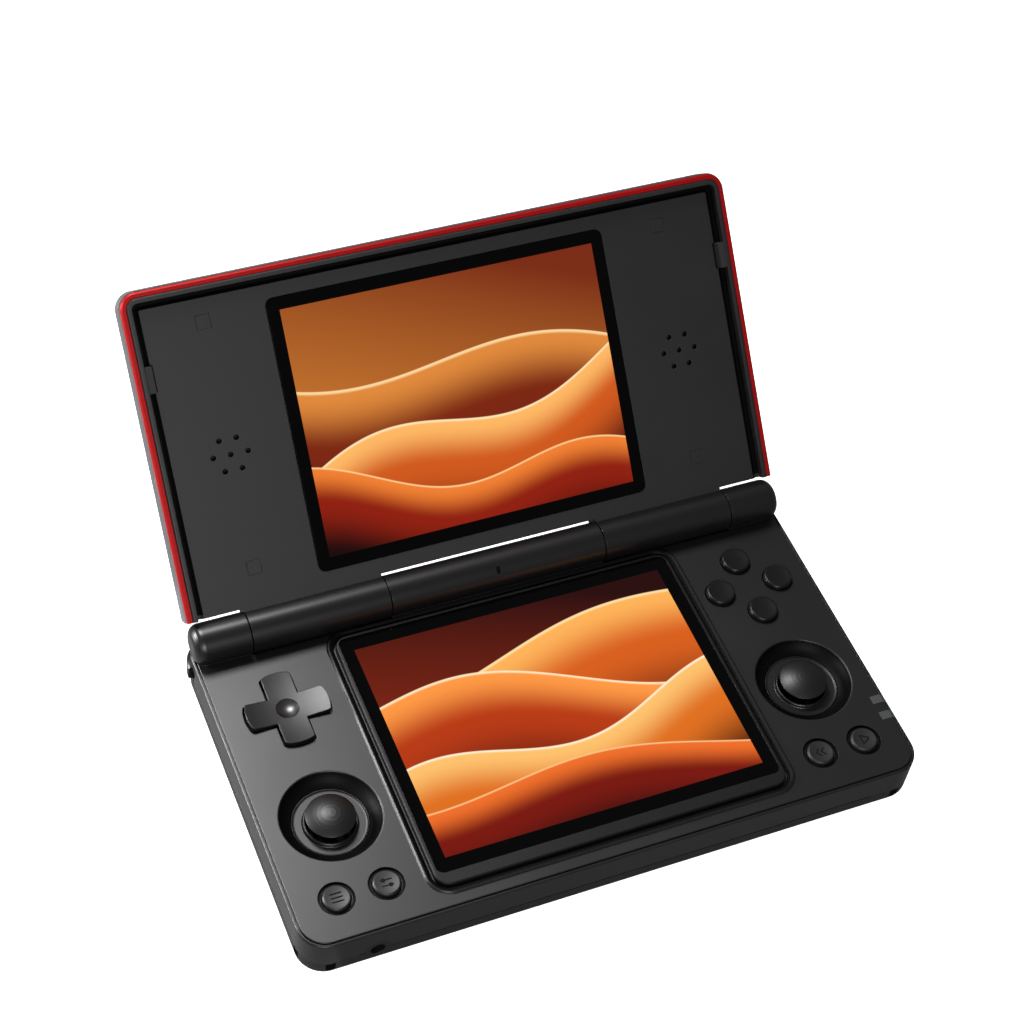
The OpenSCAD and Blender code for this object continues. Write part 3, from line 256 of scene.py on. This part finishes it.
# A fine speckle in the painted shade, drawn 0.15 mm across
port_speckle = node(port_shade_finish, "TexVoronoi", {"Vector": spot(port_shade_finish),
                                             "Scale": 1 / (0.15 * MM)})
tone = two_tone(port_shade_finish, port_speckle.outputs["Distance"], "#020202", "#070707")
plug(port_shade_finish, shader, {"Base Color": tone, "Roughness": 0.9, "Specular IOR Level": 0.1})
wear(mic_port, port_shade_finish)
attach(mic_port, "base")

# ---------------------------------------------------------------------------------------------
# Feet and floor screws. The feet are soft rubber discs glued in recesses; the screws are
# small zinc-plated steel ones, sunk in the floor.

moulded_rubber, shader = new_finish("moulded_rubber")
# Rubber keeps the faint matt pebble of its mould, about 0.4 mm
pebble = node(moulded_rubber, "TexNoise", {"Vector": spot(moulded_rubber),
                                           "Scale": 1 / (0.4 * MM), "Detail": 2.0})
eased = node(moulded_rubber, "Bevel", {"Radius": 0.2 * MM}, samples=4)
bump = node(moulded_rubber, "Bump", {"Height": pebble.outputs["Fac"], "Strength": 0.3,
                                     "Distance": 0.02 * MM, "Normal": eased.outputs["Normal"]})
tone = two_tone(moulded_rubber, pebble.outputs["Fac"], "#101010", "#181818")
plug(moulded_rubber, shader, {"Base Color": tone, "Normal": bump.outputs["Normal"],
                              "Roughness": 0.72, "IOR": 1.5})
wear(nodes["rubber_feet"], moulded_rubber)

zinc_steel, shader = new_finish("zinc_plated_steel")
# Plating leaves a fine bright grain, drawn 0.2 mm wide
plating = node(zinc_steel, "TexNoise", {"Vector": spot(zinc_steel), "Scale": 1 / (0.2 * MM),
                                        "Detail": 3.0})
gloss = node(zinc_steel, "MapRange", {"Value": plating.outputs["Fac"], "To Min": 0.22,
                                      "To Max": 0.4})
bump = node(zinc_steel, "Bump", {"Height": plating.outputs["Fac"], "Strength": 0.15,
                                 "Distance": 0.01 * MM})
plug(zinc_steel, shader, {"Base Color": linear("#8a8a8c"), "Metallic": 1.0,
                          "Roughness": gloss.outputs["Result"],
                          "Normal": bump.outputs["Normal"]})
for name in ("base_screws", "lid_screws", "hinge_pin_left", "hinge_pin_right", "pad_pivot",
             "side_switches"):
    wear(nodes[name], zinc_steel)

# ---------------------------------------------------------------------------------------------
# Inside the base: a glass-fibre circuit board with its lacquer, a foil-wrapped flat cell, and
# silicone membranes under the buttons. They show only through gaps.

board_lacquer, shader = new_finish("circuit_board_lacquer")
# Copper runs show through the lacquer as a lighter green, in lanes about 6 mm long
runs = node(board_lacquer, "TexBrick", {"Vector": spot(board_lacquer), "Scale": 1 / (6 * MM),
                                        "Color1": linear("#0c3a22"), "Color2": linear("#0f4a2b"),
                                        "Mortar": linear("#176b3f"), "Mortar Size": 0.03})
plug(board_lacquer, shader, {"Base Color": runs.outputs["Color"], "Roughness": 0.35})
wear(nodes["main_board"], board_lacquer)

cell_foil, shader = new_finish("cell_foil_wrap")
# The foil is creased over about 8 mm
creases = node(cell_foil, "TexNoise", {"Vector": spot(cell_foil), "Scale": 1 / (8 * MM),
                                       "Detail": 4.0})
bump = node(cell_foil, "Bump", {"Height": creases.outputs["Fac"], "Strength": 0.4,
                                "Distance": 0.2 * MM})
plug(cell_foil, shader, {"Base Color": linear("#9a9da0"), "Metallic": 0.8, "Roughness": 0.35,
                         "Normal": bump.outputs["Normal"]})
wear(nodes["battery"], cell_foil)

silicone, shader = new_finish("grey_silicone")
cloud = node(silicone, "TexNoise", {"Vector": spot(silicone), "Scale": 1 / (2 * MM),
                                    "Detail": 2.0})
tone = two_tone(silicone, cloud.outputs["Fac"], "#35383a", "#424547")
plug(silicone, shader, {"Base Color": tone, "Roughness": 0.6})
wear(nodes["control_membranes"], silicone)

# ---------------------------------------------------------------------------------------------
# Lower screen. A toughened cover glass with a border printed black on its back, set in a thin
# moulded frame, over a backlit panel that shows a picture of dunes.

frame_abs = moulded_plastic("black_abs_frame", "#0c0c0d", "#101011", roughness=0.42,
                            specular=0.18, grain_mm=0.3, depth_mm=0.004, edge_mm=0.08)
wear(nodes["lower_screen_frame"], frame_abs)

# Both pictures have this size
picture_width, picture_height = 81.3 * MM, 61 * MM


def lit_glass(name, centre, tilt, dunes, sky):
    """Coated cover glass with a black border, and a lit picture of rolling dunes behind it."""
    finish, shader = new_finish(name)
    # The picture's own axes: distance from its middle, divided by its height
    moved = vector_calc(finish, "ADD", spot(finish), [-c for c in centre])
    turned = node(finish, "VectorRotate", {"Vector": moved, "Angle": -tilt},
                  rotation_type="X_AXIS")
    scaled = vector_calc(finish, "MULTIPLY", turned.outputs[0], [1 / picture_height] * 3)
    axes = node(finish, "SeparateXYZ", {0: scaled})
    across, up = axes.outputs[0], axes.outputs[1]
    # Sky behind the dunes, from its low colour to its high one, leaning to one side
    lean = calc(finish, "MULTIPLY_ADD", across, 0.35, up)
    rise = node(finish, "MapRange", {"Value": lean, "From Min": -0.1, "From Max": 0.6})
    picture = two_tone(finish, rise.outputs[0], sky[0], sky[1])
    for level, swing, waves, start, slope, rim, glow, body, foot, depth in dunes:
        # How far this place lies below the dune's crest
        angle = calc(finish, "MULTIPLY_ADD", across, waves * 2 * math.pi, start)
        crest = calc(finish, "MULTIPLY_ADD", calc(finish, "SINE", angle), swing, level)
        leaning = calc(finish, "MULTIPLY_ADD", across, slope, crest)
        below = calc(finish, "SUBTRACT", leaning, up)
        # The crest's edge is softened a little
        inside = node(finish, "MapRange", {"Value": below, "From Min": -0.002,
                                           "From Max": 0.002})
        # A thin bright crest, its glow, the dune's body, and its dark foot
        shade = node(finish, "MapRange", {"Value": below, "From Max": depth})
        ramp = node(finish, "ValToRGB", {0: shade.outputs[0]})
        ramp.color_ramp.interpolation = "EASE"
        ramp.color_ramp.elements[0].color = linear(rim)
        ramp.color_ramp.elements[1].color = linear(foot)
        for stop, colour in ((0.008, rim), (0.03, glow), (0.4, body)):
            ramp.color_ramp.elements.new(stop).color = linear(colour)
        picture = two_tone(finish, inside.outputs[0], picture, ramp.outputs[0])
    # Only the lit area glows; the border round it is printed black under the glass
    in_width = calc(finish, "LESS_THAN", calc(finish, "ABSOLUTE", across),
                    picture_width / 2 / picture_height)
    in_height = calc(finish, "LESS_THAN", calc(finish, "ABSOLUTE", up), 0.5)
    lit = calc(finish, "MULTIPLY", in_width, in_height)
    eased = node(finish, "Bevel", {"Radius": 0.15 * MM}, samples=4)
    # The anti-reflective coating leaves a fifth of bare glass's reflection
    plug(finish, shader, {"Emission Color": two_tone(finish, lit, (0, 0, 0, 1), picture),
                          "Emission Strength": 1.0, "Base Color": linear("#030303"),
                          "Roughness": 0.05, "IOR": 1.5, "Specular IOR Level": 0.1,
                          "Normal": eased.outputs["Normal"]})
    return finish


low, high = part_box("lower_glass")
lower_middle = ((low.x + high.x) / 2, (low.y + high.y) / 2, high.z)
# Each dune: crest height, swing, waves across, start, slope, then crest, glow, body and foot
# colours, and the depth over which they run
lower_dunes = [
    (0.30, 0.07, 0.55, 0.4, 0.10, "#ffe2a8", "#ffb45a", "#d9601c", "#5c140b", 0.60),
    (0.12, 0.10, 0.60, 2.6, -0.12, "#ffe9c0", "#ff9a45", "#b83a12", "#3a0d09", 0.55),
    (-0.10, 0.08, 0.75, 4.4, 0.10, "#fff0cf", "#ffc36e", "#e0701f", "#2a0a08", 0.50),
    (-0.30, 0.06, 0.60, 1.2, -0.08, "#ffc58a", "#f0702a", "#7a170c", "#1c0708", 0.35),
]
lower_lens = lit_glass("lower_lens_glass", lower_middle, 0.0, lower_dunes,
                       ("#7c2410", "#2a0a0a"))
wear(nodes["lower_glass"], lower_lens)
wear(nodes["lower_display"], lower_lens)

# ---------------------------------------------------------------------------------------------
# Sticks. Each cap is a low dome moulded over a rigid core in soft-touch rubber, on a stem that
# turns in a black acetal gimbal and housing; a loose dust ring closes the bowl under it.

soft_touch = moulded_plastic("soft_touch_cap", "#080808", "#0a0a0b", roughness=0.4,
                             specular=0.42, grain_mm=0.4, depth_mm=0.006, edge_mm=0.3)
for name in ("left_stick", "right_stick"):
    wear(nodes[name], soft_touch)
wear(nodes["stick_dust_rings"], top_abs)

acetal, shader = new_finish("black_acetal")
# Acetal is slightly clouded, with flow marks about 3 mm wide, and a film of grease dulls it
flow = node(acetal, "TexNoise", {"Vector": spot(acetal), "Scale": 1 / (3 * MM), "Detail": 2.0})
tone = two_tone(acetal, flow.outputs["Fac"], "#040404", "#070707")
plug(acetal, shader, {"Base Color": tone, "Roughness": 0.6, "IOR": 1.48,
                      "Specular IOR Level": 0.05})
for name in ("left_gimbal", "right_gimbal", "stick_housings"):
    wear(nodes[name], acetal)

# ---------------------------------------------------------------------------------------------
# Sockets. The charging socket and the card reader are folded from steel sheet; the headphone
# socket is moulded in dull black plastic, with its springs hidden inside.

pressed_steel, shader = new_finish("pressed_steel")
# Rolled sheet keeps long soft streaks, about 0.3 mm wide and 5 mm long
stretched = node(pressed_steel, "Mapping", {"Vector": spot(pressed_steel),
                                            "Scale": (0.06, 1.0, 1.0)})
streaks = node(pressed_steel, "TexNoise", {"Vector": stretched.outputs[0],
                                           "Scale": 1 / (0.3 * MM), "Detail": 3.0})
gloss = node(pressed_steel, "MapRange", {"Value": streaks.outputs["Fac"], "To Min": 0.25,
                                         "To Max": 0.45})
plug(pressed_steel, shader, {"Base Color": linear("#a3a4a6"), "Metallic": 1.0,
                             "Roughness": gloss.outputs["Result"]})
for name in ("charging_socket", "card_reader"):
    wear(nodes[name], pressed_steel)
wear(nodes["headphone_socket"], under_abs)

# ---------------------------------------------------------------------------------------------
# Cross pad and buttons. Each is moulded in harder black ABS with a shallower grain than the
# shell, and rides in its own hole on a silicone dome.

key_abs = moulded_plastic("black_abs_keys", "#0b0b0c", "#0f0f10", roughness=0.3, specular=0.28,
                          grain_mm=0.4, depth_mm=0.006, edge_mm=0.3)
# The thumb's hollow in the middle of the cross pad is polished
hollow_mm = 2.6
flat = vector_calc(key_abs, "MULTIPLY", spot(key_abs), (1, 1, 0))
away = vector_calc(key_abs, "DISTANCE", flat, plan_middle("cross_pad"))
change(key_abs, within(key_abs, away, 0, hollow_mm), "#101011", roughness=0.32, specular=0.85)
for name in ("cross_pad", "action_button_back", "action_button_right", "action_button_front",
             "action_button_left", "left_shoulder", "left_trigger", "right_shoulder",
             "right_trigger", "power_button", "volume_rocker"):
    wear(nodes[name], key_abs)
# The small ones have the plate's own dull texture
small_key_abs = moulded_plastic("black_abs_small_keys", "#111112", "#161617", roughness=0.45,
                                specular=0.4, grain_mm=0.3, depth_mm=0.012, edge_mm=0.3)
for name in ("menu_button_left_outer", "menu_button_left_inner", "menu_button_right_inner",
             "menu_button_right_outer"):
    wear(nodes[name], small_key_abs)

# Marks on the round buttons, pad-printed in matt black ink
print_ink, shader = new_finish("matt_printing_ink")
# Ink lies a little unevenly, in patches about 0.5 mm wide
patches = node(print_ink, "TexNoise", {"Vector": spot(print_ink), "Scale": 1 / (0.5 * MM)})
tone = two_tone(print_ink, patches.outputs["Fac"], "#050505", "#0b0b0b")
plug(print_ink, shader, {"Base Color": tone, "Roughness": 0.75, "Specular IOR Level": 0.15})


def button_mark(button, dish_mm, strokes):
    """Bars and dots on a button's top: x, y, length, width in mm from its middle, and lean."""
    ink_depth, sunk = 0.1 * MM, 0.18 * MM
    low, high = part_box(button)
    middle = (low + high) / 2
    strips = []
    for x, y, length, width, lean in strokes:
        bpy.ops.object.select_all(action="DESELECT")
        bpy.ops.mesh.primitive_cylinder_add(vertices=14, radius=width / 2 * MM,
                                            depth=ink_depth)
        strip = bpy.context.active_object
        # Draw the disc out into a round-ended bar
        for corner in strip.data.vertices:
            corner.co.x += math.copysign((length - width) / 2 * MM, corner.co.x)
        # It follows the dished top, which rises from its middle
        rise = high.z - sunk + (x * x + y * y) / (2 * dish_mm) * MM
        strip.rotation_euler.z = math.radians(lean)
        strip.location = (middle.x + x * MM, middle.y + y * MM, rise)
        strips.append(strip)
    bpy.ops.object.select_all(action="DESELECT")
    for strip in strips:
        strip.select_set(True)
    bpy.context.view_layer.objects.active = strips[0]
    bpy.ops.object.join()
    mark = bpy.context.active_object
    mark.name = button + "_mark"
    bpy.ops.object.transform_apply(location=True, rotation=True, scale=True)
    easing = mark.modifiers.new("eased_edge", "BEVEL")
    easing.width, easing.segments = 0.03 * MM, 2
    bpy.ops.object.modifier_apply(modifier="eased_edge")
    wear(mark, print_ink)
    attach(mark, button)


# A top is dished to seven times the button's own radius
action_radius, menu_radius = 3.7, 3.3
action_dish, menu_dish = 7 * action_radius, 7 * menu_radius
# The four action buttons are told apart by one to four dots, at x and y
dot_size = 0.62
dots = {
    "action_button_left": [(0, 0)],
    "action_button_back": [(-0.6, 0), (0.6, 0)],
    "action_button_right": [(-0.65, -0.4), (0.65, -0.4), (0, 0.7)],
    "action_button_front": [(-0.6, -0.6), (0.6, -0.6), (-0.6, 0.6), (0.6, 0.6)],
}
for name, places in dots.items():
    button_mark(name, action_dish, [(x, y, dot_size, dot_size, 0) for x, y in places])
# The small ones carry three lines, two sliders, a double arrow and a triangle
button_mark("menu_button_left_outer", menu_dish,
            [(0, 1.05, 3.0, 0.42, 0), (0, 0, 3.0, 0.42, 0), (0, -1.05, 3.0, 0.42, 0)])
button_mark("menu_button_left_inner", menu_dish,
            [(0, 0.75, 3.2, 0.36, 0), (0, -0.75, 3.2, 0.36, 0), (-0.7, 0.75, 1.1, 1.05, 0),
             (0.7, -0.75, 1.1, 1.05, 0)])
button_mark("menu_button_right_inner", menu_dish,
            [(-0.65, 0.55, 1.6, 0.4, 50), (-0.65, -0.55, 1.6, 0.4, -50),
             (0.65, 0.55, 1.6, 0.4, 50), (0.65, -0.55, 1.6, 0.4, -50)])
button_mark("menu_button_right_outer", menu_dish,
            [(-0.7, 0, 2.7, 0.4, 90), (0.3, 0.64, 2.5, 0.4, -32),
             (0.3, -0.64, 2.5, 0.4, 32)])

# ---------------------------------------------------------------------------------------------
# Charge lights. Two smoked light pipes in the right edge of the plate, unlit, so they look
# grey.

light_pipe, shader = new_finish("smoked_light_pipe")
haze = node(light_pipe, "TexNoise", {"Vector": spot(light_pipe), "Scale": 1 / (1.5 * MM)})
tone = two_tone(light_pipe, haze.outputs["Fac"], "#393a3b", "#424445")
plug(light_pipe, shader, {"Base Color": tone, "Roughness": 0.35})
wear(nodes["indicator_lights"], light_pipe)

# ---------------------------------------------------------------------------------------------
# Lid. A moulded inner panel with its raised rim and groove, a painted back cover, and a thin
# red anodised band between them.

panel_abs = moulded_plastic("black_abs_lid_panel", "#111112", "#161617", roughness=0.5,
                            specular=0.4, grain_mm=0.3, depth_mm=0.02, edge_mm=0.2)
# Height above the plane of the hinge's axis, measured square to the lid
lid_tilt = math.radians(47)
square = (0, -math.sin(lid_tilt), math.cos(lid_tilt))
height = vector_calc(panel_abs, "DOT_PRODUCT", spot(panel_abs), square)
height = calc(panel_abs, "ADD", height,
              hinge_y * math.sin(lid_tilt) - hinge_z * math.cos(lid_tilt))
# The groove, which begins beyond the knuckles, is painted black: painted shade in the groove
beyond = calc(panel_abs, "GREATER_THAN", from_hinge(panel_abs), 7 * MM)
groove_shade = calc(panel_abs, "MULTIPLY", within(panel_abs, height, -0.5, 0.8), beyond)
change(panel_abs, groove_shade, "#030303", roughness=0.6, specular=0.05)
polish_knuckles(panel_abs)
wear(nodes["lid_inner_panel"], panel_abs)
# Screw covers of the same plastic, pressed flush into the panel
wear(nodes["lid_pads"], panel_abs)
wear(nodes["lid_bumpers"], moulded_rubber)

cover_paint, shader = new_finish("metallic_grey_paint")
# Aluminium flakes in the paint, drawn 0.25 mm wide
flakes = node(cover_paint, "TexVoronoi", {"Vector": spot(cover_paint),
                                          "Scale": 1 / (0.25 * MM)})
flake = node(cover_paint, "MapRange", {"Value": flakes.outputs["Distance"], "To Min": 0.3,
                                       "To Max": 0.42})
eased = node(cover_paint, "Bevel", {"Radius": 0.2 * MM}, samples=4)
plug(cover_paint, shader, {"Base Color": linear("#6f7173"), "Metallic": 0.6,
                           "Roughness": flake.outputs["Result"],
                           "Normal": eased.outputs["Normal"]})
wear(nodes["lid_back_cover"], cover_paint)

red_anodised, shader = new_finish("red_anodised_aluminium")
drift = node(red_anodised, "TexNoise", {"Vector": spot(red_anodised), "Scale": 1 / (12 * MM)})
tone = two_tone(red_anodised, drift.outputs["Fac"], "#8a0608", "#96080a")
eased = node(red_anodised, "Bevel", {"Radius": 0.2 * MM}, samples=4)
plug(red_anodised, shader, {"Base Color": tone, "Metallic": 0.3, "Roughness": 0.4,
                            "Specular IOR Level": 0.2, "Normal": eased.outputs["Normal"]})
wear(nodes["lid_trim"], red_anodised)

# ---------------------------------------------------------------------------------------------
# Speakers and upper screen. Each speaker is covered with black cloth behind its holes; the
# screen is like the lower one, without a frame.

speaker_cloth, shader = new_finish("speaker_cloth")
weave = node(speaker_cloth, "TexNoise", {"Vector": spot(speaker_cloth),
                                         "Scale": 1 / (0.3 * MM)})
tone = two_tone(speaker_cloth, weave.outputs["Fac"], "#040404", "#090909")
plug(speaker_cloth, shader, {"Base Color": tone, "Roughness": 0.9})
wear(nodes["speakers"], speaker_cloth)

low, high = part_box("upper_glass")
upper_middle = (low + high) / 2
upper_dunes = [
    (0.16, 0.10, 0.50, 0.2, -0.16, "#ffd9a0", "#e08a3c", "#7c260f", "#2c0c0c", 0.60),
    (-0.06, 0.09, 0.70, 3.4, 0.22, "#ffe7b8", "#ffb965", "#d0591c", "#4a120b", 0.45),
    (-0.28, 0.07, 0.80, 5.2, -0.12, "#ffd090", "#f08032", "#8f1f0d", "#1c0708", 0.35),
]
upper_lens = lit_glass("upper_lens_glass", upper_middle, lid_tilt, upper_dunes,
                       ("#c0702c", "#7a2c14"))
wear(nodes["upper_glass"], upper_lens)
wear(nodes["upper_display"], upper_lens)

# ---------------------------------------------------------------------------------------------
# Stage: a plain pale floor, soft studio lights and the camera.

bpy.ops.object.select_all(action="DESELECT")
bpy.ops.mesh.primitive_plane_add(size=6, location=(0, 0, cad_low.z))
floor = bpy.context.active_object
floor.name = "stage_floor"
# The glossy plastic mirrors the room's air in place of the bright floor
floor.visible_glossy = False
studio_paper, shader = new_finish("studio_paper")
plug(studio_paper, shader, {"Base Color": linear("#f4f4f4"), "Roughness": 0.9,
                            "Specular IOR Level": 0.0, "Emission Color": linear("#ffffff"),
                            "Emission Strength": 0.85})
wear(floor, studio_paper)
# A grey card laid along the left side fills that wall, which the glossy plastic mirrors
card_gap, card_width, card_length, card_lift = 0.027, 0.075, 0.14, 0.0002
bpy.ops.object.select_all(action="DESELECT")
bpy.ops.mesh.primitive_plane_add(size=1, location=(cad_low.x - card_gap, 0,
                                                   cad_low.z + card_lift))
card = bpy.context.active_object
card.name = "stage_card"
card.scale = (card_width, card_length, 1)
card.visible_camera = card.visible_diffuse = card.visible_shadow = False
grey_card, shader = new_finish("grey_card")
# It fades out towards the front corner
along = node(grey_card, "SeparateXYZ", {0: spot(grey_card)}).outputs[1]
fade = node(grey_card, "MapRange", {"Value": along, "From Min": -0.45, "From Max": -0.22,
                                    "To Min": 0.2, "To Max": 0.55})
plug(grey_card, shader, {"Base Color": linear("#000000"), "Specular IOR Level": 0.0,
                         "Emission Color": linear("#ffffff"),
                         "Emission Strength": fade.outputs[0]})
wear(card, grey_card)
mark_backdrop(floor, card)

world = bpy.data.worlds.new("studio_air")
bpy.context.scene.world = world
world.use_nodes = True
air = world.node_tree.nodes["Background"]
air.inputs["Color"].default_value = linear("#f4f5f7")
air.inputs["Strength"].default_value = 0.2


def softbox(name, place, aim, size, power):
    """A square white soft light at a place, facing the point it is aimed at."""
    light = bpy.data.lights.new(name, "AREA")
    light.shape = "RECTANGLE"
    light.size = light.size_y = size
    light.energy = power
    lamp = bpy.data.objects.new(name, light)
    bpy.context.scene.collection.objects.link(lamp)
    lamp.location = place
    lamp.rotation_mode = "QUATERNION"
    lamp.rotation_quaternion = (Vector(aim) - Vector(place)).to_track_quat("-Z", "Y")


softbox("key_softbox", (-0.08, 0.34, 0.56), (-0.06, 0.0, 0.013), size=0.2, power=3.8)
softbox("left_softbox", (-0.55, 0.31, 0.17), (-0.02, 0.0, 0.013), size=0.2, power=7)
softbox("front_softbox", (-0.3, -0.75, 0.55), (0.0, 0.07, 0.05), size=0.4, power=6)

# The camera looks down on the console from its front left and is rolled a little
camera = bpy.data.cameras.new("camera")
camera.lens, camera.sensor_width = 80.874, 36.0
camera.clip_start, camera.clip_end = 0.01, 20
camera_stand = bpy.data.objects.new("camera", camera)
bpy.context.scene.collection.objects.link(camera_stand)
right = Vector((0.920373, -0.377174, 0.103220))
down = Vector((-0.231198, -0.737741, -0.634259))
forward = Vector((0.315375, 0.559891, -0.766199))
turn = Matrix((right, -down, -forward)).transposed()
camera_stand.matrix_world = Matrix.Translation((-0.173168, -0.272440, 0.464492)) @ turn.to_4x4()
bpy.context.scene.camera = camera_stand
bpy.context.scene.view_settings.view_transform = "Standard"

low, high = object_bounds()
